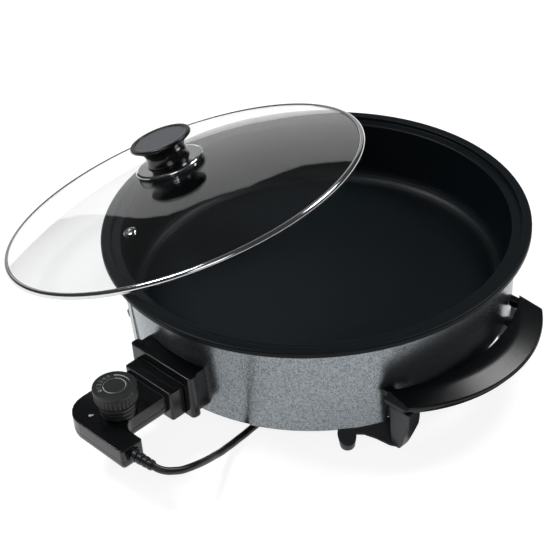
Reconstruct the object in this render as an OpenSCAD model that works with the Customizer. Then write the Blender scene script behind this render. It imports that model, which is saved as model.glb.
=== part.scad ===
// Round electric skillet with a leaning glass lid and a plug-in thermostat control.
// Origin on the pan's axis at the table, +Z up, control towards -Y, handles towards +X and -X.

/* [Pan] */
// Outer diameter of the pan's flange
rim_d = 420; // [400:1:440]
// Height of the flange's top above the table
rim_h = 125; // [118:1:134]
// Width of the raised lip that runs round the flange
lip_w = 9.5; // [8:0.5:12]
// Height of the lip above the ledge that the lid sits on
lip_step = 4; // [3:0.5:5]
// Width of the ledge that the lid sits on
ledge_w = 10; // [9:0.5:12]
// Thickness of the flange at its outer edge
flange_t = 6; // [5:0.5:8]
// Distance from the flange's outer edge in to the outer wall
overhang = 14; // [12:0.5:16]
// How far the outer wall leans in between its top and its bottom
wall_lean = 4; // [2:0.5:6]
// Thickness of the pan's wall above the floor
wall_t = 5; // [4:0.5:6]
// Thickness of the skirt below the floor
skirt_t = 4; // [3:0.5:5]
// Depth of the pan from the flange's top to the floor
pan_depth = 69; // [60:1:74]
// Thickness of the pan's floor
floor_t = 6; // [5:0.5:8]
// Radius of the corner between wall and floor
corner_r = 15; // [10:1:20]
// Gap between the skirt's lower edge and the table
skirt_gap = 18; // [17:1:24]
// Depth of the shallow panel round the socket, at its lower edge
panel_depth = 2.5; // [1.5:0.5:3]
// Half the angle that the shallow panel covers
panel_angle = 24; // [20:1:28]

/* [Heating element] */
// Radius of the element's ring
element_ring_r = 130; // [110:1:150]
// Diameter of the element's sheath
element_d = 8; // [6.5:0.5:10]
// Width of the cast rib that holds the element
rib_w = 18; // [16:1:24]
// Depth of the cast rib below the floor
rib_h = 11; // [9:0.5:13]
// Distance of the element's middle below the floor's underside
element_drop = 2.5; // [2:0.5:4]
// Radius of the element's bends towards the socket
element_bend_r = 12; // [10:1:16]
// Distance between the two terminal pins
pin_spacing = 28; // [26:1:34]
// Diameter of a terminal pin
pin_d = 6; // [5:0.5:7]
// Diameter of a ceramic bush round a terminal pin
bush_d = 11; // [10:0.5:13]
// Length of a ceramic bush
bush_l = 12; // [8:1:14]

/* [Socket and screws] */
// Width of the shroud round the terminals
shroud_w = 84; // [80:1:92]
// Height of the shroud's top above the table
shroud_top = 75; // [73:1:80]
// Height of the shroud's lower edge above the table
shroud_bottom = 29; // [26:1:30]
// Distance of the shroud's front from the pan's axis
shroud_reach = 211; // [209:1:215]
// Radius of the shroud's upright edges
shroud_r = 8; // [5:0.5:10]
// Diameter of a screw head
screw_head_d = 8; // [7:0.5:9]
// Height of a screw head
screw_head_h = 2.5; // [2:0.25:3]
// Diameter of a screw shank
screw_d = 4; // [3:0.5:4.5]

/* [Handles] */
// Distance of the grip's inner edge from the pan's axis, at its middle
grip_in = 209; // [207:0.5:214]
// Radius of the grip's inner edge
grip_in_r = 165; // [150:1:180]
// Distance of the grip's outer edge from the pan's axis, at its middle
grip_out = 243.5; // [238:0.5:250]
// Radius of the grip's outer edge
grip_out_r = 141.5; // [135:0.5:150]
// Half the length of the grip
grip_half = 98; // [92:1:100]
// Height of the grip's inner edge above the table
grip_top = 66; // [63:0.5:70]
// Drop of the grip's face from its inner to its outer edge
grip_drop = 6; // [5:0.5:9]
// Height of the lip along the grip's outer edge
grip_lip = 4.5; // [4:0.5:6]
// Thickness of the grip's moulded wall
grip_wall = 3.5; // [3:0.25:4.5]
// Depth of the grip's hollow body
grip_depth = 15; // [13:0.5:18]

/* [Feet] */
// Thickness of a foot bracket's leg
leg_t = 15; // [12:0.5:18]
// Diameter of a peg foot where it meets the table
peg_d = 14; // [12:0.5:16]
// Distance of a peg foot from the pan's axis
peg_ring_r = 195; // [192:0.5:198]
// Angle of a peg foot from the handle's middle
peg_angle = 38.8; // [36:0.2:41]

/* [Lid] */
// Outer diameter of the lid's steel band
band_d = 395; // [390:1:397]
// Height of the steel band
band_h = 7; // [6:0.5:9]
// Width of the steel band's folded lips
band_w = 7; // [6:0.5:9]
// Thickness of the steel band
band_t = 0.8; // [0.6:0.1:1]
// Thickness of the lid's glass
glass_t = 4; // [3:0.5:5]
// Rise of the glass dome from its edge to its middle
dome_rise = 32; // [28:0.5:36]
// Distance of the steam vent from the lid's middle
vent_r = 117.7; // [100:0.5:130]
// Direction of the steam vent on the lid
vent_angle = 102.7; // [90:0.5:120]
// Diameter of the vent's opening
vent_d = 5; // [4:0.5:7]
// Angle at which the lid leans on the pan
lean_tilt = 18; // [18:0.1:18.4]
// Distance of the leaning lid's middle from the pan's axis
lean_out = 156; // [155:0.5:156]
// Height of the leaning lid's middle above the table
lean_z = 109.5; // [109.5:0.5:114]
// Direction in which the lid leans out over the pan
lean_angle = 195.5; // [192:0.5:199]

/* [Lid knob] */
// Diameter of the knob's top
knob_d = 66; // [58:1:70]
// Diameter of the knob's waist
knob_waist_d = 41; // [36:1:46]
// Diameter of the knob's guard plate
guard_d = 73; // [68:1:80]
// Thickness of the guard plate's edge
guard_t = 5; // [4:0.5:6]
// Height of the knob from the glass to its top
knob_h = 31; // [28:0.5:36]
// Diameter of the disc set into the knob's top
knob_cap_d = 54; // [48:1:56]

/* [Control] */
// Width of the plug head that goes into the shroud
head_w = 64; // [60:1:66]
// Height of the plug head
head_h = 31; // [27:1:31]
// Distance of the plug head's front from the pan's axis
head_front = 227.5; // [225:0.5:230]
// Distance of the plug head's inner end from the pan's axis
head_back = 201; // [200:1:205]
// Thickness of the control's body
body_t = 21; // [20:0.5:24]
// Distance of the body's outer long side from the pan's axis
body_front = 305; // [300:1:312]
// Width of the body's arm to the right of the control's middle
arm_right = 26; // [24:0.5:30]
// Width of the body's arm to the left of the control's middle
arm_left = 28; // [26:0.5:32]
// Width of the body's cross leg
cross_w = 24; // [22:0.5:27]
// Distance of the cord's end face from the control's middle
cross_end = 55; // [50:1:60]
// Thickness of the control's moulded walls
shell_t = 2.5; // [2:0.25:3]
// Diameter of the sensor rod
probe_d = 8; // [6:0.5:9]
// Length of the sensor rod beyond the plug head
probe_l = 50; // [45:1:56]

/* [Dial] */
// Diameter of the dial
dial_d = 41; // [38:0.5:44]
// Height of the dial's top above the body
dial_h = 30; // [26:0.5:32]
// Distance of the dial's axis from the pan's axis
dial_out = 270; // [268:0.5:274]
// Distance of the dial's axis from the control's middle
dial_side = 9; // [7:0.5:11]
// Diameter of the disc set into the dial's top
dial_face_d = 34; // [30:0.5:35]
// Diameter of the dial's shaft
dial_shaft_d = 6; // [5:0.5:8]

/* [Cord] */
// Diameter of the cord
cord_d = 7; // [6:0.5:8]
// Diameter of the coil at the middle of its turns
coil_d = 76; // [70:1:84]
// Thickness of the tie round the coil
tie_t = 1.2; // [1:0.1:1.5]
// Diameter of the plug's face
plug_d = 36; // [34:0.5:38]
// Length of the plug's body
plug_l = 36; // [32:1:42]
// Diameter of a plug pin
plug_pin_d = 4.8; // [4:0.1:4.8]
// Distance between the plug's pins
plug_pin_gap = 19; // [18:0.5:20]
// Length of a plug pin
plug_pin_l = 19; // [18:0.5:20]

/* [Fits] */
// Clearance where one piece seats on another
seat_gap = 0.15; // [0.1:0.05:0.3]
// Clearance where one piece slides or turns in another
slide_gap = 0.3; // [0.25:0.05:0.5]
// Clearance round the plug head in the shroud
head_gap = 0.8; // [0.5:0.1:1]

/* [Hidden] */
$fn = 96;
rim_r = rim_d / 2;
wall_top_r = rim_r - overhang;
wall_bottom_r = wall_top_r - wall_lean;
flange_z = rim_h - flange_t;
wall_top_z = flange_z - 2;
floor_z = rim_h - pan_depth;
under_z = floor_z - floor_t;
ledge_out_r = rim_r - lip_w;
ledge_in_r = ledge_out_r - ledge_w;
wall_slope = wall_lean / (wall_top_z - skirt_gap);
element_z = under_z - element_drop;
control_z = element_z;
pin_x = pin_spacing / 2;
bend_x = pin_x + element_bend_r;
bend_y = -sqrt(pow(element_ring_r + element_bend_r, 2) - pow(bend_x, 2));
bend_turn = asin(bend_x / (element_ring_r + element_bend_r));
sheath_end = 170;
pin_tip = head_back + 13;
socket_w = head_w + 2 * head_gap;
socket_h = head_h + 2 * head_gap;
well_end = head_back - probe_l - 4;
well_d = probe_d + 2 * slide_gap + 3;
window_w = pin_spacing + bush_d + 4;
window_h = well_d + 6;
window_from = wall_bottom_r - skirt_t - 5;
shroud_screw_z = under_z - 10;
body_z = control_z + body_t / 2 + 1;
body_low = body_z - body_t;
body_seam = body_low + 9;
shoulder = 4;
cord_y = -(body_front - cross_w / 2);
cord_z = body_low + body_t / 2 + 1.5;
gland_l = 1.5;
relief_x = cross_end + gland_l;
cord_r = cord_d / 2;
coil_x = -100;
coil_y = 240;
coil_low = tie_t + slide_gap;
coil_h = 2 * cord_d;
plug_y = coil_y + coil_d / 2 + cord_d + 2;
plug_tail_x = coil_x + 4;
pin_root_d = plug_pin_d + 1.6;
dome_edge_r = band_d / 2 - 3;
dome_r = (pow(dome_edge_r, 2) + pow(dome_rise, 2)) / (2 * dome_rise);
dome_z = 1 + dome_rise;
glass_top = dome_z + glass_t;
knob_screw_d = 5;
hub_r = 9;
leg_y = grip_half - 1 - leg_t / 2;
leg_top = grip_top - grip_depth;
arm_y = leg_y - 9;
arm_x = 152;
arm_w = 13;
arm_top = under_z - 10;
arm_low = arm_top - 15;
notch_half = leg_y - 2;
grip_in_c = grip_in - grip_in_r;
grip_out_c = grip_out - grip_out_r;
grip_screw_x = 190.5;
grip_screw_seat = arm_low - 1;
lug_t = 8;
end_slope = 4.5;
shroud_neck = 4;
neck_from = shroud_reach - 10.5;
shroud_screw_x = shroud_w / 2 - shroud_neck - 3.8;
grip_lug_x = grip_in_c + sqrt(pow(grip_in_r, 2) - pow(leg_y, 2)) + 8;
washer_t = 1.5;
spigot_w = 40;
spigot_h = 14;
sleeve_d = pin_d + 2 * slide_gap + 2;
sleeve_l = 20;
dial_ribs = 36;
tube_sides = 8;
COVER_POSTS = [[-20, -282], [21, -242], [-20, -242], [40, -296]];

// Route of the cord from the strain relief's end to the coil, in round numbers
CORD_ROUTE = [
    [78, -290, 48], [83, -287.5, 45.5], [87.5, -283, 43], [90.5, -277.5, 41], [92.5, -271, 38.5],
    [93, -263.5, 36], [92, -255, 32.5], [89.5, -245, 27.5], [86, -234.5, 22], [82, -224, 16.5],
    [79, -213.5, 12], [76, -204, 8.7], [74, -194.5, 6.5], [72, -185.5, 4.8], [71, -177, 4],
    [70, -169, 3.7], [69, -153, 3.6], [68, -136, 3.6], [67, -118, 3.6], [66, -99, 3.6],
    [64.5, -79, 3.6], [62.5, -58, 3.6], [60, -37, 3.6], [57, -16, 3.6], [53, 5, 3.6],
    [48, 26, 3.6], [42, 47, 3.6], [35, 67, 3.6], [27, 87, 3.6], [18, 107, 3.6],
    [8, 126, 3.6], [-3, 144, 3.6], [-15, 161, 3.6], [-28, 176, 3.6], [-42, 189, 3.6],
    [-53, 194.5, 3.8], [-65, 198, 4.2], [-78, 199.2, 4.8], [-90, 198.8, 5]];

// ---- helpers -------------------------------------------------------------------------------

function unit(v) = v / norm(v);

// Points of the arc that rounds corner p, which lies between a and b and has its radius third
function corner_arc(a, p, b, steps) =
    let (u = unit([a.x - p.x, a.y - p.y]), v = unit([b.x - p.x, b.y - p.y]),
        half = acos(u * v) / 2,
        start = [p.x, p.y] + u * (p.z / tan(half)),
        mid = [p.x, p.y] + unit(u + v) * (p.z / sin(half)),
        turn = (180 - 2 * half) * sign(cross(u, v)),
        from = atan2(start.y - mid.y, start.x - mid.x))
    [for (i = [0:steps]) mid + p.z * [cos(from - turn * i / steps), sin(from - turn * i / steps)]];

// Outline whose corners [x, y, radius] are rounded
function rounded(pts, steps = 6) = [for (i = [0:len(pts) - 1]) each
    pts[i].z > 0
        ? corner_arc(pts[(i + len(pts) - 1) % len(pts)], pts[i], pts[(i + 1) % len(pts)], steps)
        : [[pts[i].x, pts[i].y]]];

// Outer wall's radius at height z, less inset
function wall_r(z, inset = 0) = wall_bottom_r + wall_slope * (z - skirt_gap) - inset;

// Cylinder that runs along -Y from distance from to distance to, at x and height z
module rod_y(x, z, d, from, to) {
    translate([x, -from, z]) rotate([90, 0, 0]) cylinder(d = d, h = to - from);
}

// Box with rounded upright edges, from low corner to high corner
module pad_box(low, high, r) {
    translate([0, 0, low.z]) linear_extrude(high.z - low.z)
        polygon(rounded([[low.x, low.y, r], [high.x, low.y, r], [high.x, high.y, r],
            [low.x, high.y, r]], 5));
}

// ---- pan -----------------------------------------------------------------------------------

// Solid below the outer wall's surface, moved in by inset
module wall_solid(inset = 0) {
    rotate_extrude($fn = 180) polygon([[0, 0], [wall_r(0, inset), 0],
        [wall_r(rim_h, inset), rim_h], [0, rim_h]]);
}

module pan_shell() {
    rotate_extrude($fn = 180) polygon(rounded([
        [0, under_z, 0], [wall_bottom_r - skirt_t, under_z, 4],
        [wall_bottom_r - skirt_t, skirt_gap, 1.2], [wall_bottom_r, skirt_gap, 1.8],
        [wall_top_r, wall_top_z, 3], [rim_r, flange_z, 1.6], [rim_r, rim_h, 1.8],
        [ledge_out_r, rim_h, 1.2], [ledge_out_r - 0.5, rim_h - lip_step, 0.8],
        [ledge_in_r, rim_h - lip_step, 2], [wall_top_r - wall_t - 5, floor_z, corner_r],
        [0, floor_z, 0]]));
}

// Wedge that covers the angles from -half to half about -Y, reaching out past the pan
module wedge(half, low, high) {
    far = 2 * rim_r;
    translate([0, 0, low]) linear_extrude(high - low)
        polygon([[0, 0], [-far * sin(half), -far * cos(half)], [far * sin(half), -far * cos(half)]]);
}

// Shallow panel in the wall round the socket, deepest at its lower edge
module wall_panel() {
    intersection() {
        difference() {
            rotate_extrude($fn = 180) polygon([[0, 0], [rim_r, 0], [rim_r, wall_top_z - 3],
                [0, wall_top_z - 3]]);
            rotate_extrude($fn = 180) polygon([[0, -1], [wall_r(-1, panel_depth), -1],
                [wall_r(wall_top_z, 0), wall_top_z], [0, wall_top_z]]);
        }
        wedge(panel_angle, 0, rim_h);
    }
}

// Notch in the skirt's lower edge for the two foot brackets below one grip
module foot_notch() {
    high = arm_top + 1;
    rotate([90, 0, 90]) linear_extrude(rim_r) polygon(rounded([[-notch_half, 0, 0],
        [notch_half, 0, 0], [notch_half, high, 2], [-notch_half, high, 2]], 5));
}

module element_path(d) {
    translate([0, 0, element_z]) {
        rotate([0, 0, -90 + bend_turn]) rotate_extrude(angle = 360 - 2 * bend_turn, $fn = 120)
            translate([element_ring_r, 0]) circle(d = d, $fn = 24);
        for (side = [0, 1]) mirror([side, 0, 0]) {
            translate([bend_x, bend_y, 0]) rotate([0, 0, 90 + bend_turn])
                rotate_extrude(angle = 90 - bend_turn, $fn = 48)
                    translate([element_bend_r, 0]) circle(d = d - 0.1, $fn = 24);
            translate([pin_x, bend_y, 0]) rotate([90, 0, 0])
                cylinder(d = d, h = sheath_end + bend_y, $fn = 24);
        }
    }
}

module pan_body() {
    color("dimgray") difference() {
        union() {
            pan_shell();
            difference() {
                translate([0, 0, under_z - rib_h]) rotate_extrude($fn = 120)
                    translate([element_ring_r - rib_w / 2, 0]) square([rib_w, rib_h + 1]);
                wedge(bend_turn + 1, 0, under_z);
            }
            for (x = [-arm_x, arm_x], y = [-arm_y, arm_y])
                translate([x, y, arm_top + seat_gap])
                    cylinder(d = arm_w, h = under_z - arm_top, $fn = 32);
        }
        element_path(element_d + 2 * seat_gap);
        wall_panel();
        for (side = [0, 180]) rotate([0, 0, side]) foot_notch();
        translate([-window_w / 2, -rim_r, element_z - window_h / 2])
            cube([window_w, rim_r - window_from, window_h]);
        rod_y(0, element_z, well_d + 2 * seat_gap, well_end - 3, rim_r);
        for (x = [-pin_x, pin_x]) rod_y(x, element_z, bush_d + 2 * seat_gap, sheath_end, rim_r);
        for (x = [-arm_x, arm_x], y = [-arm_y, arm_y])
            translate([x, y, arm_top]) cylinder(d = screw_d + 2 * seat_gap, h = 8, $fn = 24);
        for (x = [-shroud_screw_x, shroud_screw_x])
            rod_y(x, shroud_screw_z, screw_d + 2 * seat_gap, 160, rim_r);
    }
}

module heating_element() {
    color("darkgray") element_path(element_d);
}

module terminal_pins() {
    color("silver") for (x = [-pin_x, pin_x]) {
        rod_y(x, element_z, pin_d, sheath_end + seat_gap, pin_tip - 1);
        translate([x, -pin_tip + 1, element_z]) rotate([90, 0, 0])
            cylinder(d1 = pin_d, d2 = pin_d - 2, h = 1);
    }
}

module ceramic_bushes() {
    color("ivory") for (x = [-pin_x, pin_x]) difference() {
        rod_y(x, element_z, bush_d, sheath_end + seat_gap, sheath_end + seat_gap + bush_l);
        rod_y(x, element_z, pin_d + 2 * seat_gap, sheath_end, rim_r);
    }
}

module sensor_well() {
    color("lightgray") difference() {
        rod_y(0, element_z, well_d, well_end - 2, head_back - 3);
        rod_y(0, element_z, probe_d + 2 * slide_gap, well_end, rim_r);
    }
}

// Space inside the shallow panel's surface, moved out by gap
module panel_solid(gap) {
    rotate_extrude($fn = 180) polygon([[0, -1], [wall_r(-1, panel_depth) + gap, -1],
        [wall_r(wall_top_z) + gap, wall_top_z], [0, wall_top_z]]);
}

module socket_shroud() {
    color("#15181b") difference() {
        union() {
            pad_box([-shroud_w / 2, -shroud_reach, shroud_bottom],
                [shroud_w / 2, -neck_from, shroud_top], shroud_r / 2);
            pad_box([-shroud_w / 2 + shroud_neck, -neck_from - 5, shroud_bottom + 2],
                [shroud_w / 2 - shroud_neck, -150, shroud_top - 1], 2);
        }
        panel_solid(seat_gap);
        pad_box([-socket_w / 2, -rim_r - 10, control_z - socket_h / 2],
            [socket_w / 2, -head_back + 3, control_z + socket_h / 2], 2);
        for (x = [-pin_x, pin_x]) rod_y(x, element_z, pin_d + 1, 150, rim_r);
        rod_y(0, element_z, well_d + 2 * seat_gap, 150, rim_r);
        for (x = [-shroud_screw_x, shroud_screw_x])
            rod_y(x, shroud_screw_z, screw_d + 2 * seat_gap, 150, head_back - 4);
    }
}

module shroud_screws() {
    inner = sqrt(pow(wall_bottom_r - skirt_t, 2) - pow(shroud_screw_x + screw_head_d / 2, 2));
    color("silver") for (x = [-shroud_screw_x, shroud_screw_x]) {
        rod_y(x, shroud_screw_z, screw_head_d, inner - seat_gap - screw_head_h, inner - seat_gap);
        rod_y(x, shroud_screw_z, screw_d, inner - 1, head_back - 5);
    }
}

// ---- handles and feet ----------------------------------------------------------------------

// Crescent of the grip in plan, moved in by inset
module grip_plan(inset) {
    intersection() {
        difference() {
            translate([grip_out_c, 0]) circle(grip_out_r - inset, $fn = 180);
            translate([grip_in_c, 0]) circle(grip_in_r + inset, $fn = 180);
        }
        translate([0, -grip_half + inset]) square([rim_d, 2 * (grip_half - inset)]);
    }
}

// Crowned face of the grip, moved in by inset and open below
module grip_form(inset) {
    near = grip_out_r - (grip_out - grip_in);
    edge = grip_top - grip_drop;
    translate([grip_out_c, 0, 0]) rotate_extrude($fn = 180) polygon(rounded([
        [40, leg_top - (inset > 0 ? 1 : 0), 0],
        [grip_out_r - 4 - inset, leg_top - (inset > 0 ? 1 : 0), 0],
        [grip_out_r - 4 - inset, edge - grip_lip - inset, 1],
        [grip_out_r - inset, edge - grip_lip - (inset > 0 ? inset : 0), 1.2],
        [grip_out_r - inset, edge - inset, 1.8],
        [near + 14, grip_top - 0.5 - inset, 30],
        [40, grip_top - inset, 0]], 5));
}

// Length of the grip seen along X, its ends sloping in towards the crown
module grip_ends() {
    rotate([90, 0, 90]) linear_extrude(rim_d) polygon([
        [-grip_half, leg_top], [grip_half, leg_top], [grip_half, leg_top + 5],
        [grip_half - end_slope, grip_top], [-grip_half + end_slope, grip_top],
        [-grip_half, leg_top + 5]]);
}

// Short arm that carries one end of the grip on the pan's wall
module grip_lug(side) {
    difference() {
        translate([0, side * leg_y - lug_t / 2, leg_top + 4])
            cube([grip_lug_x, lug_t, grip_top - leg_top - 8]);
        wall_solid(-seat_gap);
    }
}

module handle_grip() {
    color("#121417") difference() {
        union() {
            intersection() {
                grip_form(0);
                translate([0, 0, leg_top]) linear_extrude(grip_depth) grip_plan(0);
                grip_ends();
            }
            for (side = [-1, 1]) grip_lug(side);
        }
        difference() {
            intersection() {
                grip_form(grip_wall);
                translate([0, 0, leg_top - 1]) linear_extrude(grip_depth) grip_plan(grip_wall);
            }
            for (y = [-48:24:48])
                translate([grip_in - 50, y - 1, leg_top + 1]) cube([120, 2, grip_depth]);
            for (side = [-1, 1])
                translate([0, side * leg_y - leg_t / 2, leg_top]) cube([rim_d, leg_t, grip_depth]);
        }
        for (side = [-1, 1]) translate([grip_screw_x, side * leg_y, leg_top - 1])
            cylinder(d = screw_d + 2 * seat_gap, h = 9, $fn = 24);
    }
}

// Upright leg below one end of the grip, drawn in the plane across the handle
module leg_form() {
    intersection() {
        translate([0, leg_y + leg_t / 2, 0]) rotate([90, 0, 0]) linear_extrude(leg_t)
            polygon(rounded([[grip_lug_x - 8, leg_top, 0], [grip_lug_x + 18, leg_top, 0], [206, 40, 8],
                [198.5, 19, 10], [189, 0, 5], [181, 0, 3], [grip_lug_x - 8, 11, 4]], 5));
        rotate([90, 0, 90]) linear_extrude(rim_d)
            polygon(rounded([[leg_y - leg_t / 2, leg_top, 0], [leg_y - leg_t / 2, 16, 6],
                [leg_y - leg_t / 2 + 3, 0, 2], [leg_y + leg_t / 2 - 4, 0, 2],
                [leg_y + leg_t / 2, 14, 6], [leg_y + leg_t / 2, leg_top, 0]], 5));
    }
}

// Arched web from the leg to the peg foot, under the skirt's lower edge
module foot_web() {
    peg = peg_ring_r * [cos(peg_angle), sin(peg_angle)];
    start = [185, leg_y];
    run = norm(peg - start);
    translate([start.x, start.y, 0])
        rotate([90, 0, atan2(peg.y - start.y, peg.x - start.x)]) translate([0, 0, -5])
            linear_extrude(10) polygon(rounded([[-5, skirt_gap - seat_gap, 0],
                [-5, 2, 0], [5, 2, 3], [14, skirt_gap - 8, 12],
                [run * 0.7, skirt_gap - 4, 8], [run, skirt_gap - 7, 0],
                [run, skirt_gap - seat_gap, 0]], 5));
}

module peg_foot() {
    translate(peg_ring_r * [cos(peg_angle), sin(peg_angle), 0]) rotate_extrude($fn = 48)
        polygon(rounded([[0, 0, 0], [peg_d / 2, 0, 3], [peg_d / 2 + 2.5, skirt_gap - seat_gap, 0],
            [0, skirt_gap - seat_gap, 0]]));
}

// Foot bracket at the +X, +Y corner
module foot_bracket() {
    color("#1b1e22") difference() {
        union() {
            leg_form();
            foot_web();
            peg_foot();
            translate([arm_x, arm_y - arm_w / 2, arm_low])
                cube([grip_lug_x + 12 - arm_x, arm_w, arm_top - arm_low]);
            translate([arm_x, arm_y, arm_low]) cylinder(d = arm_w, h = arm_top - arm_low, $fn = 32);
        }
        translate([arm_x, arm_y, arm_low - 1])
            cylinder(d = screw_d + 2 * seat_gap, h = 30, $fn = 24);
        translate([arm_x, arm_y, arm_low - 1])
            cylinder(d = screw_head_d + 1, h = screw_head_h + 1, $fn = 32);
        translate([grip_screw_x, leg_y, grip_screw_seat])
            cylinder(d = screw_d + 2 * seat_gap, h = 60, $fn = 24);
        leg_pocket();
    }
}

// Pocket in the leg's inner side, below the arm, where the grip's screw goes in
module leg_pocket() {
    translate([0, leg_y + leg_t / 2 - 3.5, 0]) rotate([90, 0, 0]) linear_extrude(leg_t)
        polygon([[185, 5], [189.5, 5], [193.5, 14], [196, grip_screw_seat],
            [185, grip_screw_seat]]);
}

// One upright screw with its head below, at x, y, head's top at z
module screw_up(x, y, z, reach) {
    translate([x, y, z - screw_head_h]) cylinder(d = screw_head_d, h = screw_head_h, $fn = 32);
    translate([x, y, z - 0.5]) cylinder(d = screw_d, h = reach + 0.5, $fn = 24);
}

module foot_screws() {
    color("silver") for (x = [-arm_x, arm_x], y = [-arm_y, arm_y])
        screw_up(x, y, arm_low + screw_head_h, arm_top - arm_low - screw_head_h + 7);
}

module grip_screws() {
    color("silver") for (x = [-grip_screw_x, grip_screw_x], y = [-leg_y, leg_y])
        screw_up(x, y, grip_screw_seat, leg_top - grip_screw_seat + 7);
}

// ---- lid -----------------------------------------------------------------------------------

// Puts a piece of the lid, drawn about the lid's own middle, where the lid leans on the pan
module leaning() {
    rotate([0, 0, lean_angle]) translate([lean_out, 0, lean_z]) rotate([0, lean_tilt, 0])
        children();
}

// Ball section of the dome's inner surface, moved out by gap
module dome_ball(gap) {
    translate([0, dome_z - dome_r]) circle(dome_r + gap, $fn = 720);
}

module lid_glass() {
    color("#c9d4d8", 0.45) leaning() difference() {
        rotate_extrude($fn = 180) intersection() {
            difference() {
                dome_ball(glass_t);
                dome_ball(0);
            }
            translate([0, 0.4]) square([band_d / 2 - band_t - seat_gap, glass_top]);
        }
        cylinder(d = hub_r * 2, h = 3 * glass_top, $fn = 48);
        translate([vent_r * cos(vent_angle), vent_r * sin(vent_angle), 0])
            cylinder(d = vent_d + 4.4, h = 3 * glass_top, $fn = 32);
    }
}

module lid_band() {
    out = band_d / 2;
    lip_in = out - band_w;
    lip_z = dome_z - dome_r + sqrt(pow(dome_r + glass_t + seat_gap, 2) - pow(lip_in, 2));
    color("silver") leaning() rotate_extrude($fn = 180) difference() {
        polygon(rounded([[lip_in, -0.6, 0.3], [out, -0.6, 1.4], [out, band_h - 1.2, 2],
            [lip_in, lip_z + band_t, 0.3], [lip_in, lip_z - 2, 0]], 4));
        intersection() {
            dome_ball(glass_t + seat_gap);
            translate([lip_in - 1, -0.6 + band_t]) square([band_w + 1 - band_t, band_h]);
        }
    }
}

module vent_grommet() {
    at = dome_z - dome_r + sqrt(pow(dome_r, 2) - pow(vent_r, 2));
    lean = asin(vent_r / dome_r);
    color("silver") leaning() rotate([0, 0, vent_angle]) translate([vent_r, 0, at])
        rotate([0, lean, 0]) rotate_extrude($fn = 48) difference() {
            polygon(rounded([[vent_d / 2, -1.2, 0.4], [vent_d / 2 + 4, -0.8, 0.3],
                [vent_d / 2 + 4, -0.2, 0], [vent_d / 2 + 1.4, -0.2, 0],
                [vent_d / 2 + 1.4, glass_t + 0.3, 0], [vent_d / 2 + 4, glass_t + 0.3, 0],
                [vent_d / 2 + 4, glass_t + 0.9, 0.3], [vent_d / 2, glass_t + 1.5, 0.4]], 3));
        }
}

module knob_guard() {
    seat = dome_z - dome_r;
    color("#1a1c1f") leaning() rotate_extrude($fn = 120) difference() {
        polygon(rounded([[knob_screw_d / 2 + seat_gap, glass_top - 4, 0],
            [hub_r - seat_gap, glass_top - 4, 0], [hub_r - seat_gap, glass_top - 1.5, 0],
            [guard_d / 2 - 1, glass_top - 1.5, 0], [guard_d / 2, glass_top + guard_t - 1, 1.2],
            [guard_d / 2 - 3, glass_top + guard_t, 1], [knob_waist_d / 2 + 3, glass_top + guard_t + 1, 0],
            [knob_screw_d / 2 + seat_gap, glass_top + guard_t + 1, 0]], 4));
        difference() {
            translate([0, seat]) circle(dome_r + glass_t + seat_gap, $fn = 720);
            translate([0, 0]) square([hub_r - seat_gap, 2 * glass_top]);
        }
    }
}

module knob_grip() {
    low = glass_top + guard_t + 1 + seat_gap;
    top = glass_top + knob_h;
    color("#0e1012") leaning() rotate_extrude($fn = 120) difference() {
        polygon(rounded([[0, low, 0], [knob_waist_d / 2 + 3, low, 1],
            [knob_waist_d / 2, low + 7, 18], [knob_waist_d / 2 + 1.5, top - 9, 14],
            [knob_d / 2 - 3, top - 4.5, 3], [knob_d / 2, top - 2.5, 1.2],
            [knob_d / 2 - 1, top, 0.8], [0, top, 0]], 6));
        translate([0, top - 1.6]) square([knob_cap_d / 2 + seat_gap, 3]);
        translate([0, low - 1]) square([knob_screw_d / 2 + seat_gap, 13]);
    }
}

module knob_cap() {
    top = glass_top + knob_h;
    color("#8b9196") leaning() translate([0, 0, top - 1.6 + seat_gap]) rotate_extrude($fn = 96)
        polygon(rounded([[0, 0, 0], [knob_cap_d / 2, 0, 0], [knob_cap_d / 2, 1, 0.4], [0, 1, 0]], 4));
}

module knob_washer() {
    color("silver") leaning() translate([0, 0, glass_top - 4 - seat_gap - washer_t])
        difference() {
            cylinder(r = hub_r + 4, h = washer_t, $fn = 48);
            translate([0, 0, -1]) cylinder(d = knob_screw_d + 2 * seat_gap, h = 5, $fn = 32);
        }
}

module knob_screw() {
    under = glass_top - 4 - 2 * seat_gap - washer_t;
    color("silver") leaning() {
        translate([0, 0, under - 3]) rotate_extrude($fn = 48)
            polygon(rounded([[0, 0, 0], [5, 0, 1.5], [5, 3, 0], [0, 3, 0]], 4));
        translate([0, 0, under - 0.5])
            cylinder(d = knob_screw_d, h = glass_top + guard_t + 11 - under, $fn = 32);
    }
}

// ---- control -------------------------------------------------------------------------------

// Outline of the body in plan, moved in by inset
module body_plan(inset) {
    far = -body_front + inset;
    near = far + cross_w - 2 * inset;
    polygon(rounded([[arm_right - inset, -head_front, 0], [arm_right - inset, near, 14 + inset],
        [cross_end - inset, near, 2], [cross_end - inset, far, 3],
        [-arm_left - shoulder + inset, far, 26 - inset],
        [-arm_left - shoulder + inset, -dial_out + 5 - inset, 3],
        [-arm_left + inset, -dial_out + 9 - inset, 3], [-arm_left + inset, -head_front, 0]], 6));
}

// Parts of the body's outline that bulge nowhere, so that their lower edges can be rounded
module body_part(index, inset) {
    far = -body_front + inset;
    left = -arm_left - shoulder + inset;
    if (index == 0)
        polygon(rounded([[arm_right - inset, -head_front, 0], [arm_right - inset, far, 3],
            [left, far, 26 - inset], [left, -dial_out + 5 - inset, 3],
            [-arm_left + inset, -head_front, 0]], 6));
    else
        polygon(rounded([[cross_end - inset, far + cross_w - 2 * inset, 2],
            [cross_end - inset, far, 3], [left + 20, far, 3],
            [left + 20, far + cross_w - 2 * inset, 2]], 4));
}

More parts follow.
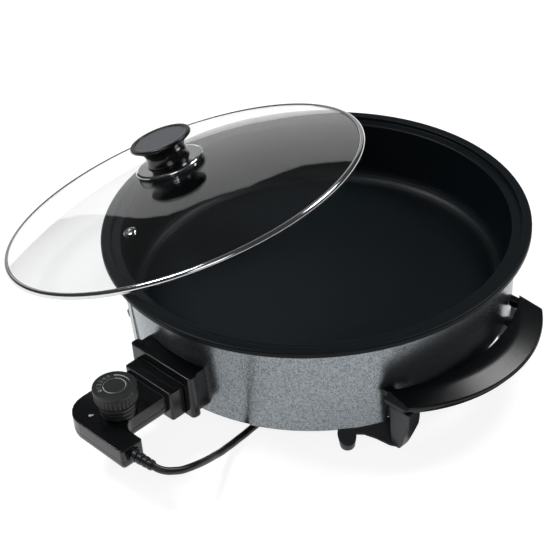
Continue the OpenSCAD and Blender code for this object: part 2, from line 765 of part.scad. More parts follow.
// Body's outer form from its lower face to the height of the seam
module tray_form() {
    intersection() {
        union() {
            for (index = [0, 1]) hull() {
                translate([0, 0, body_low]) linear_extrude(1) body_part(index, 3);
                translate([0, 0, body_low + 1.3]) linear_extrude(1) body_part(index, 1);
                translate([0, 0, body_low + 4]) linear_extrude(body_seam - body_low - 4)
                    body_part(index, 0);
            }
        }
        translate([0, 0, body_low - 1]) linear_extrude(body_t) body_plan(0);
    }
}

// Space for the plug head's spigot in the body's end wall
module spigot_space(gap) {
    translate([-spigot_w / 2 - gap, -head_front - 12, control_z - spigot_h / 2 - gap])
        cube([spigot_w + 2 * gap, 12 + 1, spigot_h + 2 * gap]);
}

module cover_posts(d, low, high) {
    for (at = COVER_POSTS) translate([at.x, at.y, low]) cylinder(d = d, h = high - low, $fn = 32);
}

module control_top_cover() {
    color("#17191c") difference() {
        union() {
            difference() {
                translate([0, 0, body_seam + seat_gap])
                    linear_extrude(body_z - body_seam - seat_gap) body_plan(0);
                translate([0, 0, body_seam - 1])
                    linear_extrude(body_z - body_seam - shell_t + 1) body_plan(shell_t);
            }
            cover_posts(7, body_seam + seat_gap, body_z - 1);
        }
        cover_posts(screw_d * 0.75 + 2 * seat_gap, body_seam - 1, body_z - 3.5);
        spigot_space(seat_gap);
        translate([dial_side, -dial_out, body_seam])
            cylinder(d = dial_shaft_d + 2 * slide_gap, h = body_t, $fn = 48);
        gland_space(seat_gap);
    }
}

module control_bottom_cover() {
    color("#17191c") difference() {
        union() {
            difference() {
                tray_form();
                translate([0, 0, body_low + shell_t]) linear_extrude(body_t) body_plan(shell_t);
            }
            cover_posts(7, body_low + 1, body_seam);
        }
        cover_posts(screw_d * 0.75 + 2 * seat_gap, body_low - 1, body_seam + 1);
        cover_posts(5.6 + 2 * seat_gap, body_low - 1, body_low + 2);
        spigot_space(seat_gap);
        gland_space(seat_gap);
    }
}

module cover_screws() {
    color("silver") {
        cover_posts(5.6, body_low, body_low + 2 - seat_gap);
        cover_posts(screw_d * 0.75, body_low + 1, body_z - 4);
    }
}

module plug_head() {
    color("#17191c") difference() {
        union() {
            pad_box([-head_w / 2, -head_front, control_z - head_h / 2],
                [head_w / 2, -head_back, control_z + head_h / 2], 2.5);
            spigot_space(0);
        }
        rod_y(0, control_z, probe_d + 2 * seat_gap, head_back - 1, head_front + 20);
        for (x = [-pin_x, pin_x])
            rod_y(x, control_z, sleeve_d + 2 * seat_gap, head_back - 1, head_back + sleeve_l);
    }
}

module sensor_rod() {
    color("silver") {
        rod_y(0, control_z, probe_d, head_back - probe_l + 3, head_front + 18);
        translate([0, -head_back + probe_l - 3, control_z]) rotate([-90, 0, 0])
            cylinder(d1 = probe_d, d2 = probe_d - 4, h = 3);
    }
}

module contact_sleeves() {
    color("goldenrod") for (x = [-pin_x, pin_x]) difference() {
        rod_y(x, control_z, sleeve_d, head_back + seat_gap, head_back + sleeve_l - 1);
        rod_y(x, control_z, pin_d + 2 * slide_gap, head_back - 1, head_back + sleeve_l - 3);
    }
}

module thermostat_block() {
    top = body_z - shell_t - 4;
    color("peru") difference() {
        translate([dial_side - 12, -dial_out - 12, body_low + shell_t])
            cube([24, 24, top - body_low - shell_t]);
        translate([dial_side, -dial_out, body_low + 6])
            cylinder(d = dial_shaft_d + 2 * slide_gap, h = body_t, $fn = 48);
    }
}

// ---- dial ----------------------------------------------------------------------------------

module at_dial(z) {
    translate([dial_side, -dial_out, z]) children();
}

module dial_knob() {
    low = body_z + slide_gap;
    top = body_z + dial_h;
    r = dial_d / 2;
    color("#101214") difference() {
        at_dial(0) union() {
            rotate_extrude($fn = 120) polygon(rounded([[0, low, 0], [r - 3.5, low, 0.6],
                [r - 3.5, low + 3.4, 0.6], [r - 4.6, low + 3.9, 0], [r - 4.6, low + 4.6, 0],
                [r - 3.5, low + 5.1, 0.6], [r - 3.5, low + 8, 0.6], [r - 4.6, low + 8.5, 0],
                [r - 4.6, low + 9.2, 0], [r - 2.6, low + 9.7, 0.6], [r - 2.6, low + 13, 0.6],
                [r - 3.4, low + 13.5, 0], [r - 0.9, low + 16.5, 1], [r - 0.9, top - 4, 0],
                [r, top - 3.4, 0.8], [r, top, 0.8], [0, top, 0]], 3));
            translate([0, 0, low + 16.5]) linear_extrude(top - 4.2 - low - 16.5)
                polygon([for (i = [0:dial_ribs * 2 - 1])
                    (r - (i % 2 == 0 ? 0.2 : 1.1)) * [cos(180 * i / dial_ribs),
                        sin(180 * i / dial_ribs)]]);
        }
        at_dial(top - 1.4) cylinder(d = dial_face_d + 2 * seat_gap, h = 3);
        at_dial(low - 1) cylinder(d = dial_shaft_d + 2 * seat_gap, h = 15, $fn = 48);
    }
}

module dial_face() {
    color("#202326") at_dial(body_z + dial_h - 1.4 + seat_gap) cylinder(d = dial_face_d, h = 1);
}

module dial_shaft() {
    color("silver") at_dial(body_low + 7)
        cylinder(d = dial_shaft_d, h = body_t - 7 + slide_gap + 13, $fn = 48);
}

// ---- cord ----------------------------------------------------------------------------------

// Hexagonal collar of the gland, in the end wall of the body
module gland_space(gap) {
    translate([cross_end - shell_t - 2 - gap, cord_y, cord_z]) rotate([0, 90, 0])
        cylinder(d = 10 + 2 * gap, h = shell_t + 3 + gap, $fn = 32);
}

module cord_gland() {
    color("#121416") {
        translate([cross_end - shell_t - 2, cord_y, cord_z]) rotate([0, 90, 0])
            cylinder(d = 10, h = shell_t + 3, $fn = 32);
        translate([cross_end + seat_gap, cord_y, cord_z]) rotate([0, 90, 0])
            linear_extrude(gland_l - seat_gap) circle(d = 15, $fn = 6);
    }
}

module strain_relief() {
    at = CORD_ROUTE[0];
    tail = at - [relief_x, cord_y, cord_z];
    run = norm(tail);
    color("#121416") translate([relief_x, cord_y, cord_z])
        rotate([0, acos(tail.z / run), atan2(tail.y, tail.x)]) rotate_extrude($fn = 40)
            polygon(rounded([[0, 0, 0], [6, 0, 0.5], [5.8, 4, 0.5], [4.2, 4.6, 0], [4.1, 6, 0],
                [5.5, 6.6, 0.4], [5.3, 10, 0.4], [4.1, 10.6, 0], [4, 12, 0], [5.2, 12.6, 0.4],
                [5, 16, 0.4], [4, 16.6, 0], [4, 18, 0], [5, 18.6, 0.4], [4.7, run, 0.5],
                [0, run, 0]], 3));
}

// Direction of the route at point i
function along(i) = unit(CORD_ROUTE[min(i + 1, len(CORD_ROUTE) - 1)] - CORD_ROUTE[max(i - 1, 0)]);

// Ring of the tube at point i, in the plane across the route
function tube_ring(i) =
    let (t = along(i), side = unit(cross([0, 0, 1], t)), up = cross(t, side))
    [for (k = [0:tube_sides - 1]) CORD_ROUTE[i]
        + cord_r * (cos(360 * k / tube_sides) * side + sin(360 * k / tube_sides) * up)];

module cord_tube() {
    last = len(CORD_ROUTE) - 1;
    color("#0f1113") polyhedron(
        points = [for (i = [0:last]) each tube_ring(i)],
        faces = concat(
            [[for (k = [tube_sides - 1:-1:0]) k]],
            [for (i = [0:last - 1], k = [0:tube_sides - 1])
                [i * tube_sides + k, i * tube_sides + (k + 1) % tube_sides,
                    (i + 1) * tube_sides + (k + 1) % tube_sides, (i + 1) * tube_sides + k]],
            [[for (k = [0:tube_sides - 1]) last * tube_sides + k]]));
}

module cord_coil() {
    color("#0f1113") translate([coil_x, coil_y, coil_low]) rotate_extrude($fn = 72)
        polygon(rounded([[coil_d / 2 - cord_d, 0, 2.5], [coil_d / 2 + cord_d, 0, 2.5],
            [coil_d / 2 + cord_d, coil_h, 2.5], [coil_d / 2 - cord_d, coil_h, 2.5]], 4));
}

module coil_tie() {
    w = 2 * cord_d + 4 * slide_gap;
    h = coil_h + 2 * slide_gap;
    color("#2a2d30") translate([coil_x, coil_y, 0]) rotate([0, 0, 200])
        translate([coil_d / 2, 6, tie_t]) rotate([90, 0, 0]) linear_extrude(12) difference() {
            translate([-w / 2 - tie_t, -tie_t]) square([w + 2 * tie_t, h + 2 * tie_t]);
            translate([-w / 2, 0]) square([w, h]);
        }
}

module mains_plug() {
    color("#131517") translate([plug_tail_x, plug_y, plug_d / 2]) rotate([0, 90, 0])
        difference() {
            rotate_extrude($fn = 64) polygon(rounded([[0, 0, 0], [cord_r + 1.2, 0, 0.5],
                [cord_r + 2.5, 15, 6], [plug_d / 2 - 6, 24, 8], [plug_d / 2 - 0.6, 32, 3],
                [plug_d / 2, plug_l + 16, 1.5], [0, plug_l + 16, 0]], 4));
            for (side = [-1, 1]) {
                translate([0, side * plug_pin_gap / 2, plug_l + 4])
                    cylinder(d = pin_root_d + 2 * seat_gap, h = 14, $fn = 32);
                translate([side * (plug_d / 2 - 1.4) - 1.6, -5, plug_l + 2]) cube([3.2, 10, 16]);
            }
        }
}

module mains_plug_pins() {
    low = plug_l + 4 + seat_gap;
    color("silver") translate([plug_tail_x, plug_y, plug_d / 2]) rotate([0, 90, 0])
        for (side = [-1, 1]) translate([0, side * plug_pin_gap / 2, 0]) {
            translate([0, 0, low]) cylinder(d = pin_root_d, h = plug_l + 16 - low, $fn = 32);
            translate([0, 0, plug_l + 15])
                cylinder(d = plug_pin_d, h = plug_pin_l, $fn = 32);
            translate([0, 0, plug_l + 15 + plug_pin_l])
                cylinder(d1 = plug_pin_d, d2 = plug_pin_d - 1.6, h = 1, $fn = 32);
        }
}

// ---- assembly ------------------------------------------------------------------------------

pan_body();
heating_element();
terminal_pins();
ceramic_bushes();
sensor_well();
socket_shroud();
shroud_screws();
handle_grip();  // handle_grip_right
rotate([0, 0, 180]) handle_grip();  // handle_grip_left
mirror([0, 1, 0]) foot_bracket();  // foot_front_right
foot_bracket();  // foot_back_right
rotate([0, 0, 180]) foot_bracket();  // foot_front_left
mirror([1, 0, 0]) foot_bracket();  // foot_back_left
foot_screws();
grip_screws();
lid_glass();
lid_band();
vent_grommet();
knob_guard();
knob_grip();
knob_cap();
knob_screw();
knob_washer();
control_top_cover();
control_bottom_cover();
plug_head();
sensor_rod();
contact_sleeves();
thermostat_block();
cover_screws();
cord_gland();
strain_relief();
dial_knob();
dial_face();
dial_shaft();
cord_tube();
cord_coil();
coil_tie();
mains_plug();
mains_plug_pins();
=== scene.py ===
import bpy
import math
from mathutils import Vector, Matrix


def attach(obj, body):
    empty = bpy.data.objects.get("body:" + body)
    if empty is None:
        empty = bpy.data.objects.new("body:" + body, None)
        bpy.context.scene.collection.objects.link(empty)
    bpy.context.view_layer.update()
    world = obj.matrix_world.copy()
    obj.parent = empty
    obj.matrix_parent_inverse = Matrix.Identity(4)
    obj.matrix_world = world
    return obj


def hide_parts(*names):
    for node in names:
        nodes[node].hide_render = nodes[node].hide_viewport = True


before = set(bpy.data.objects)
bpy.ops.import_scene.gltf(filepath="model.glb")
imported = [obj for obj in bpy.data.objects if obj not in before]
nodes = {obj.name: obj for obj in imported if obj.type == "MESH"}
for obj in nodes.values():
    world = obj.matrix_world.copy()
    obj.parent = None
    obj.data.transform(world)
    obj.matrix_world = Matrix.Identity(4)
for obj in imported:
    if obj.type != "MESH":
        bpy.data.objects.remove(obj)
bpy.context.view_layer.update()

# ---- camera --------------------------------------------------------------------------------
# A long lens looks down at the pan's rim, with the right grip turned 46 degrees towards it.
# Its place is worked out from the ellipse of the rim, whose centre stands 125 mm above the table.
rim_height = 0.125
turn_of_pan = math.radians(46)
camera_back, camera_above = 1.23206, 0.82529
photo_width, focal_length, sensor_width = 550, 1510.907, 36      # pixels, pixels and mm
pitch, yaw, roll = 0.6255, -0.0355, -0.0792
forward = Vector((math.sin(yaw) * math.cos(pitch), math.cos(yaw) * math.cos(pitch), -math.sin(pitch)))
right = Vector((math.cos(yaw), -math.sin(yaw), 0))
up = right.cross(forward)
turned_right = math.cos(roll) * right + math.sin(roll) * up
turned_up = math.cos(roll) * up - math.sin(roll) * right
look = Matrix((turned_right, turned_up, -forward)).transposed()
pan_turn = Matrix.Rotation(turn_of_pan, 3, "Z")
camera_data = bpy.data.cameras.new("camera")
camera_data.sensor_width = sensor_width
camera_data.lens = focal_length * sensor_width / photo_width
camera_data.clip_end = 30
camera = bpy.data.objects.new("camera", camera_data)
bpy.context.collection.objects.link(camera)
camera_place = pan_turn @ Vector((0, -camera_back, camera_above)) + Vector((0, 0, rim_height))
camera.matrix_world = Matrix.Translation(camera_place) @ (pan_turn @ look).to_4x4()
bpy.context.scene.camera = camera
bpy.context.scene.view_settings.view_transform = "Standard"


# ---- cord ----------------------------------------------------------------------------------
# Flexible round lead, 7 mm thick and 1.45 m long, with a satin black sheath drawn over its cores.
# It leaves the control's end wall, bends down to the table, runs under the pan and lies behind it
# in a neat coil, two turns wide and two turns high.
def paint(hex_colour):
    """sRGB hex colour as the linear one that the nodes take"""
    parts = [int(hex_colour[i:i + 2], 16) / 255 for i in (0, 2, 4)]
    return [p / 12.92 if p <= 0.04045 else ((p + 0.055) / 1.055) ** 2.4 for p in parts] + [1]


def add_node(tree, kind, settings=None, **links):
    """One shader node; each link is an input's name or iN for its number, with a socket or a value"""
    node = tree.nodes.new("ShaderNode" + kind)
    for name, value in (settings or {}).items():
        setattr(node, name, value)
    for name, value in links.items():
        key = int(name[1:]) if name[0] == "i" and name[1:].isdigit() else name.replace("_", " ")
        if isinstance(value, bpy.types.NodeSocket):
            tree.links.new(value, node.inputs[key])
        else:
            node.inputs[key].default_value = value
    return node


def new_material(name):
    """A new finish; returns it with its node tree and its surface shader"""
    material = bpy.data.materials.new(name)
    material.use_nodes = True
    return material, material.node_tree, material.node_tree.nodes["Principled BSDF"]


def fit(piece, body, slot, material, *stands_for):
    """Gives a finished piece its material, its body and the nodes that it stands for"""
    piece.data.materials.clear()
    piece.data.materials.append(material)
    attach(piece, body)
    if stands_for:
        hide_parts(*stands_for)


def finish_nodes(material, *names):
    """Gives the solids their finish"""
    for name in names:
        nodes[name].data.materials.clear()
        nodes[name].data.materials.append(material)


cord_d = 0.007
route = [
    (58, -293, 50), (68, -291.8, 49.3), (78, -290, 48), (83, -287.5, 45.5), (87.5, -283, 43),
    (90.5, -277.5, 41), (92.5, -271, 38.5), (93, -263.5, 36), (92, -255, 32.5), (89.5, -245, 27.5),
    (86, -234.5, 22), (82, -224, 16.5), (79, -213.5, 12), (76, -204, 8.7), (74, -194.5, 6.5),
    (72, -185.5, 4.8), (71, -177, 4), (70, -169, 3.7), (68, -136, 3.6), (66, -99, 3.6),
    (62.5, -58, 3.6), (57, -16, 3.6), (48, 26, 3.6), (35, 67, 3.6), (18, 107, 3.6), (-3, 144, 3.6),
    (-28, 176, 3.6), (-53, 194.5, 3.8), (-65, 198, 4.2), (-78, 199.2, 4.8), (-90, 198.8, 5)]
coil_x, coil_y = -100, 240
wide, narrow = 41.6, 34.4
coil_floor, coil_rise = 5.2, 7
points_a_turn = 16
turns = []
for step in range(54):
    along = step / points_a_turn
    angle = math.radians(-96 - 360 * along)
    inward = min(max((along - 0.9) / 0.2, 0), 1) - min(max((along - 2.9) / 0.2, 0), 1)
    climb = min(max((along - 1.9) / 0.2, 0), 1)
    ease = inward * inward * (3 - 2 * inward)
    reach = wide + (narrow - wide) * ease
    turns.append((coil_x + reach * math.cos(angle), coil_y + reach * math.sin(angle),
                  coil_floor + coil_rise * climb * climb * (3 - 2 * climb)))
end = [(-127.7, 271.8, 13), (-117, 280, 14.9), (-104.5, 285.2, 17), (-91, 287, 18), (-80, 287, 18)]
path = [Vector(p) / 1000 for p in route + turns + end]
curve = bpy.data.curves.new("mains_cord", "CURVE")
curve.dimensions = "3D"
curve.bevel_depth = cord_d / 2
curve.bevel_resolution = 5
curve.resolution_u = 6
spline = curve.splines.new("BEZIER")
spline.bezier_points.add(len(path) - 1)
for point, place in zip(spline.bezier_points, path):
    point.co = place
    point.handle_left_type = point.handle_right_type = "AUTO"
cord = bpy.data.objects.new("mains_cord", curve)
bpy.context.collection.objects.link(cord)

# Extruded sheath: black, with the faint waviness that breaks its long highlight
material, tree, shader = new_material("black_cord_sheath")
place = add_node(tree, "TexCoord").outputs["Object"]
fine = add_node(tree, "TexNoise", Vector=place, Scale=1000 / 1.2, Detail=3)
shade = add_node(tree, "Mix", {"data_type": "RGBA"}, i0=fine.outputs["Fac"], i6=paint("0a0c0e"),
                 i7=paint("181c20"))
rough = add_node(tree, "MapRange", Value=fine.outputs["Fac"], To_Min=0.28, To_Max=0.46)
bump = add_node(tree, "Bump", Height=fine.outputs["Fac"], Strength=0.15, Distance=0.0003)
tree.links.new(shade.outputs[2], shader.inputs["Base Color"])
tree.links.new(rough.outputs[0], shader.inputs["Roughness"])
tree.links.new(bump.outputs[0], shader.inputs["Normal"])
cord_sheath = material
fit(cord, "control", "cord_rubber", cord_sheath, "cord_tube", "cord_coil")
finish_nodes(cord_sheath, "strain_relief", "cord_gland")


# ---- mains plug and tie --------------------------------------------------------------------
# Plug moulded onto the cord's end in the same black, with plated round pins, and the band of
# black plastic that holds the coil.

# Injection-moulded plastic: near black, with a fine satin skin
material, tree, shader = new_material("satin_plug_plastic")
place = add_node(tree, "TexCoord").outputs["Object"]
skin = add_node(tree, "TexNoise", Vector=place, Scale=1000 / 0.8, Detail=3)
shade = add_node(tree, "Mix", {"data_type": "RGBA"}, i0=skin.outputs["Fac"], i6=paint("0d0f11"),
                 i7=paint("1a1d20"))
rough = add_node(tree, "MapRange", Value=skin.outputs["Fac"], To_Min=0.36, To_Max=0.5)
bump = add_node(tree, "Bump", Height=skin.outputs["Fac"], Strength=0.12, Distance=0.0002)
tree.links.new(shade.outputs[2], shader.inputs["Base Color"])
tree.links.new(rough.outputs[0], shader.inputs["Roughness"])
tree.links.new(bump.outputs[0], shader.inputs["Normal"])
satin_black = material
finish_nodes(satin_black, "mains_plug", "coil_tie")

# Nickel plate over brass: bright, with the faint draw marks of the turned pin
material, tree, shader = new_material("nickel_plated_pins")
place = add_node(tree, "TexCoord").outputs["Object"]
marks = add_node(tree, "TexNoise", Vector=place, Scale=1000 / 1.5, Detail=4)
shade = add_node(tree, "Mix", {"data_type": "RGBA"}, i0=marks.outputs["Fac"], i6=paint("b9b6ae"),
                 i7=paint("dcd9d0"))
rough = add_node(tree, "MapRange", Value=marks.outputs["Fac"], To_Min=0.12, To_Max=0.26)
tree.links.new(shade.outputs[2], shader.inputs["Base Color"])
tree.links.new(rough.outputs[0], shader.inputs["Roughness"])
shader.inputs["Metallic"].default_value = 1.0
finish_nodes(material, "terminal_pins", "contact_sleeves", "mains_plug_pins")

# ---- pan casting ---------------------------------------------------------------------------
# Cast aluminium, with black non-stick coating inside and over the flange, and grey hammered paint
# outside. The underside, behind the skirt, is left bare, and sharp corners are broken, so that the
# flange shows thin lines of light.

# Three finishes on one casting, told apart by the distance from its axis and the height
material, tree, shader = new_material("coated_pan_casting")
place = add_node(tree, "TexCoord").outputs["Object"]
split = add_node(tree, "SeparateXYZ", Vector=place)
flat_place = add_node(tree, "CombineXYZ", X=split.outputs["X"], Y=split.outputs["Y"])
radius = add_node(tree, "VectorMath", {"operation": "LENGTH"}, i0=flat_place.outputs[0])
wall = add_node(tree, "MapRange", Value=split.outputs["Z"], From_Min=0.018, From_Max=0.118, To_Min=0.1875,
                To_Max=0.1915)
outside = add_node(tree, "Math", {"operation": "GREATER_THAN"}, i0=radius.outputs["Value"],
                   i1=wall.outputs[0])
below_rim = add_node(tree, "Math", {"operation": "LESS_THAN"}, i0=split.outputs["Z"], i1=0.1172)
painted = add_node(tree, "Math", {"operation": "MULTIPLY"}, i0=outside.outputs[0], i1=below_rim.outputs[0])
bare = add_node(tree, "Math", {"operation": "LESS_THAN"}, i0=split.outputs["Z"], i1=0.0530)
# Hammered paint: pewter grey cells of about a millimetre in slightly larger clouds
cells = add_node(tree, "TexVoronoi", {"feature": "SMOOTH_F1"}, Vector=place, Scale=1000 / 1.3,
                 Randomness=1.0, Smoothness=0.4)
clouds = add_node(tree, "TexNoise", Vector=place, Scale=1000 / 3.0, Detail=5, Roughness=0.65)
hammer = add_node(tree, "Mix", {"data_type": "FLOAT"}, Factor=0.55, A=cells.outputs["Distance"],
                  B=clouds.outputs["Fac"])
hammer_mix = add_node(tree, "MapRange", Value=hammer.outputs[0], From_Min=0.3, From_Max=0.56)
hammer_shade = add_node(tree, "Mix", {"data_type": "RGBA"}, i0=hammer_mix.outputs[0], i6=paint("565b5f"),
                        i7=paint("92989c"))
# Non-stick coating: blue-black, with the fine stipple of a sprayed and baked layer
stipple = add_node(tree, "TexNoise", Vector=place, Scale=1000 / 0.9, Detail=3)
coat_shade = add_node(tree, "Mix", {"data_type": "RGBA"}, i0=stipple.outputs["Fac"], i6=paint("05090c"),
                      i7=paint("0d1418"))
bare_shade = add_node(tree, "Mix", {"data_type": "RGBA"}, i0=clouds.outputs["Fac"], i6=paint("77797a"),
                      i7=paint("9a9c9e"))
shade = add_node(tree, "Mix", {"data_type": "RGBA"}, i0=bare.outputs[0], i6=coat_shade.outputs[2],
                 i7=bare_shade.outputs[2])
shade = add_node(tree, "Mix", {"data_type": "RGBA"}, i0=painted.outputs[0], i6=shade.outputs[2],
                 i7=hammer_shade.outputs[2])
metal = add_node(tree, "Math", {"operation": "MULTIPLY"}, i0=painted.outputs[0], i1=0.9)
rough = add_node(tree, "Mix", {"data_type": "FLOAT"}, Factor=painted.outputs[0], A=0.42, B=0.24)
height = add_node(tree, "Mix", {"data_type": "FLOAT"}, Factor=painted.outputs[0], A=stipple.outputs["Fac"],
                  B=hammer.outputs[0])
depth = add_node(tree, "Mix", {"data_type": "FLOAT"}, Factor=painted.outputs[0], A=0.1, B=0.16)
edge = add_node(tree, "Bevel", {"samples": 8}, Radius=0.0007)
bump = add_node(tree, "Bump", Height=height.outputs[0], Strength=depth.outputs[0], Distance=0.0005,
                Normal=edge.outputs[0])
tree.links.new(shade.outputs[2], shader.inputs["Base Color"])
tree.links.new(metal.outputs[0], shader.inputs["Metallic"])
tree.links.new(rough.outputs[0], shader.inputs["Roughness"])
tree.links.new(bump.outputs[0], shader.inputs["Normal"])
shader.inputs["Specular IOR Level"].default_value = 0.14
finish_nodes(material, "pan_body")

# ---- element, bushes and sensor well -------------------------------------------------------
# Steel-sheathed element bent to a ring under the floor, its pins held in ceramic bushes, and the
# well for the control's sensor, cast with the pan and left bare.

# Sheath: brown-grey temper colours of a heated steel tube
material, tree, shader = new_material("heat_tinted_sheath")
place = add_node(tree, "TexCoord").outputs["Object"]
tint = add_node(tree, "TexNoise", Vector=place, Scale=1000 / 14, Detail=4)
shade = add_node(tree, "Mix", {"data_type": "RGBA"}, i0=tint.outputs["Fac"], i6=paint("3d3833"),
                 i7=paint("7a6f62"))
rough = add_node(tree, "MapRange", Value=tint.outputs["Fac"], To_Min=0.35, To_Max=0.55)
tree.links.new(shade.outputs[2], shader.inputs["Base Color"])
tree.links.new(rough.outputs[0], shader.inputs["Roughness"])
shader.inputs["Metallic"].default_value = 1.0
finish_nodes(material, "heating_element")

# As-cast metal: dull, with the grain of the mould
material, tree, shader = new_material("bare_casting")
place = add_node(tree, "TexCoord").outputs["Object"]
grain = add_node(tree, "TexNoise", Vector=place, Scale=1000 / 2.0, Detail=5)
shade = add_node(tree, "Mix", {"data_type": "RGBA"}, i0=grain.outputs["Fac"], i6=paint("7d7f81"),
                 i7=paint("a9abac"))
bump = add_node(tree, "Bump", Height=grain.outputs["Fac"], Strength=0.25, Distance=0.0003)
tree.links.new(shade.outputs[2], shader.inputs["Base Color"])
tree.links.new(bump.outputs[0], shader.inputs["Normal"])
shader.inputs["Metallic"].default_value = 1.0
shader.inputs["Roughness"].default_value = 0.5
finish_nodes(material, "sensor_well")

# Unglazed ceramic: chalky cream with faint specks
material, tree, shader = new_material("unglazed_ceramic")
place = add_node(tree, "TexCoord").outputs["Object"]
specks = add_node(tree, "TexNoise", Vector=place, Scale=1000 / 1.0, Detail=4)
shade = add_node(tree, "Mix", {"data_type": "RGBA"}, i0=specks.outputs["Fac"], i6=paint("cfc9ba"),
                 i7=paint("e8e3d8"))
bump = add_node(tree, "Bump", Height=specks.outputs["Fac"], Strength=0.2, Distance=0.0002)
tree.links.new(shade.outputs[2], shader.inputs["Base Color"])
tree.links.new(bump.outputs[0], shader.inputs["Normal"])
shader.inputs["Roughness"].default_value = 0.65
finish_nodes(material, "ceramic_bushes", "thermostat_block")

# Zinc-plated steel: bluish bright grey, unevenly dulled
material, tree, shader = new_material("zinc_plated_steel")
place = add_node(tree, "TexCoord").outputs["Object"]
dulling = add_node(tree, "TexNoise", Vector=place, Scale=1000 / 2.5, Detail=4)
shade = add_node(tree, "Mix", {"data_type": "RGBA"}, i0=dulling.outputs["Fac"], i6=paint("9b9da1"),
                 i7=paint("c2c4c7"))
rough = add_node(tree, "MapRange", Value=dulling.outputs["Fac"], To_Min=0.2, To_Max=0.4)
tree.links.new(shade.outputs[2], shader.inputs["Base Color"])
tree.links.new(rough.outputs[0], shader.inputs["Roughness"])
shader.inputs["Metallic"].default_value = 1.0
finish_nodes(material, "shroud_screws", "foot_screws", "grip_screws", "knob_screw", "knob_washer",
             "cover_screws", "sensor_rod", "dial_shaft")

# ---- socket shroud -------------------------------------------------------------------------
# Glossy black heat-proof plastic, moulded in one piece round the pins and screwed to the pan's
# skirt. The control's head slides into its mouth.

# Gloss moulding: deep black that mirrors softly, with a long slow waviness from the mould
material, tree, shader = new_material("gloss_black_moulding")
place = add_node(tree, "TexCoord").outputs["Object"]
wave = add_node(tree, "TexNoise", Vector=place, Scale=1000 / 9, Detail=2)
dust = add_node(tree, "TexNoise", Vector=place, Scale=1000 / 0.7, Detail=3)
shade = add_node(tree, "Mix", {"data_type": "RGBA"}, i0=dust.outputs["Fac"], i6=paint("060709"),
                 i7=paint("0f1114"))
rough = add_node(tree, "MapRange", Value=dust.outputs["Fac"], To_Min=0.16, To_Max=0.26)
edge = add_node(tree, "Bevel", {"samples": 8}, Radius=0.0018)
bump = add_node(tree, "Bump", Height=wave.outputs["Fac"], Strength=0.06, Distance=0.0006,
                Normal=edge.outputs[0])
tree.links.new(shade.outputs[2], shader.inputs["Base Color"])
tree.links.new(rough.outputs[0], shader.inputs["Roughness"])
tree.links.new(bump.outputs[0], shader.inputs["Normal"])
gloss_black = material
finish_nodes(gloss_black, "socket_shroud")

# ---- feet ----------------------------------------------------------------------------------
# Four brackets pressed from heat-proof plastic, slate grey and dull. Each is a leg below a grip's
# end, with an arched web that runs in under the skirt to a level peg, and a screw holds it up to
# the pan. One is made, and mirrored to the other three corners.

# Pressed plastic: slate grey with the matt grain of its filler
material, tree, shader = new_material("slate_leg_plastic")
place = add_node(tree, "TexCoord").outputs["Object"]
filler = add_node(tree, "TexNoise", Vector=place, Scale=1000 / 1.0, Detail=5)
shade = add_node(tree, "Mix", {"data_type": "RGBA"}, i0=filler.outputs["Fac"], i6=paint("1a1e22"),
                 i7=paint("30353a"))
rough = add_node(tree, "MapRange", Value=filler.outputs["Fac"], To_Min=0.38, To_Max=0.55)
edge = add_node(tree, "Bevel", {"samples": 8}, Radius=0.0018)
bump = add_node(tree, "Bump", Height=filler.outputs["Fac"], Strength=0.15, Distance=0.0003,
                Normal=edge.outputs[0])
tree.links.new(shade.outputs[2], shader.inputs["Base Color"])
tree.links.new(rough.outputs[0], shader.inputs["Roughness"])
tree.links.new(bump.outputs[0], shader.inputs["Normal"])
leg_plastic = material


def slab(outline, depth_low, depth_high):
    """Plate with an outline of (x, z) points in mm, thick from one y to another"""
    bpy.ops.object.select_all(action="DESELECT")
    bpy.ops.mesh.primitive_circle_add(vertices=len(outline), radius=0.001, fill_type="NGON",
                                      location=(0, 0, 0))
    piece = bpy.context.object
    for vertex, (x, z) in zip(piece.data.vertices, outline):
        vertex.co = (x / 1000, depth_low / 1000, z / 1000)
    bpy.ops.object.mode_set(mode="EDIT")
    bpy.ops.mesh.select_all(action="SELECT")
    depth = (depth_high - depth_low) / 1000
    bpy.ops.mesh.extrude_region_move(TRANSFORM_OT_translate={"value": (0, depth, 0)})
    bpy.ops.mesh.select_all(action="SELECT")
    bpy.ops.mesh.normals_make_consistent(inside=False)
    bpy.ops.object.mode_set(mode="OBJECT")
    return piece


def turned(name, section, place, steps):
    """Closed section in mm, as (radius, height), spun round the upright axis and put in its place"""
    bpy.ops.object.select_all(action="DESELECT")
    bpy.ops.mesh.primitive_circle_add(vertices=len(section), radius=0.001, location=(0, 0, 0))
    piece = bpy.context.object
    piece.name = name
    for vertex, (radius, height) in zip(piece.data.vertices, section):
        vertex.co = (radius / 1000, 0, height / 1000)
    bpy.ops.object.mode_set(mode="EDIT")
    bpy.ops.mesh.select_all(action="SELECT")
    bpy.ops.mesh.spin(steps=steps, angle=math.tau, center=(0, 0, 0), axis=(0, 0, 1))
    bpy.ops.mesh.select_all(action="SELECT")
    bpy.ops.mesh.remove_doubles(threshold=0.00001)
    bpy.ops.mesh.normals_make_consistent(inside=False)
    bpy.ops.object.mode_set(mode="OBJECT")
    bpy.ops.object.shade_smooth_by_angle(angle=math.radians(40))
    piece.data.transform(place)
    return piece


